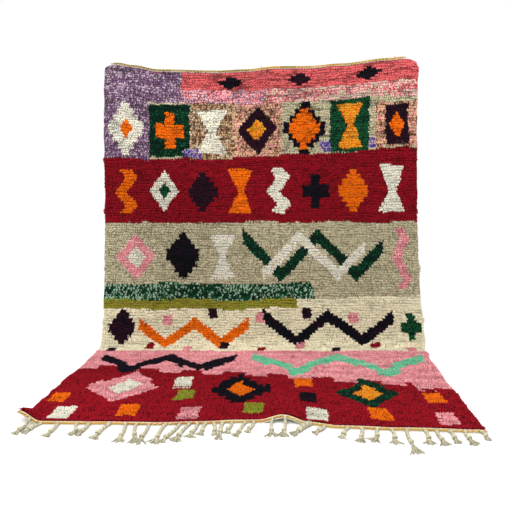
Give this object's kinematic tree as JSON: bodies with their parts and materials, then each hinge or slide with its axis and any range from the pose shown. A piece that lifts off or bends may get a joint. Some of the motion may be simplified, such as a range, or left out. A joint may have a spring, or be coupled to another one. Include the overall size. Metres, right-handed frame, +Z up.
{
  "type": "boujad rug",
  "caption": "Hand-knotted wool rug, hung by its top edge and running out onto the floor, with twined end cords and a knotted fringe.",
  "frame": {"origin": "middle of the whole rug's footprint, on the floor", "axes": "+Z up, -Y towards the fringed hem that lies on the floor, +X across the rug to the right as it is looked at"},
  "size_m": [2.089, 1.3418, 1.8296],
  "materials": {
    "pile_wool": "knotted wool pile in coloured bands with small motifs, matt",
    "warp_yarn": "undyed cream wool, twisted and knotted",
    "twined_cord": "two-coloured twined wool cord, golden yellow and orange"
  },
  "bodies": {
    "root": {"field": "pile_wool", "fringe_band": "warp_yarn", "end_cord": "twined_cord", "top_cord": "twined_cord"}
  },
  "joints": []
}
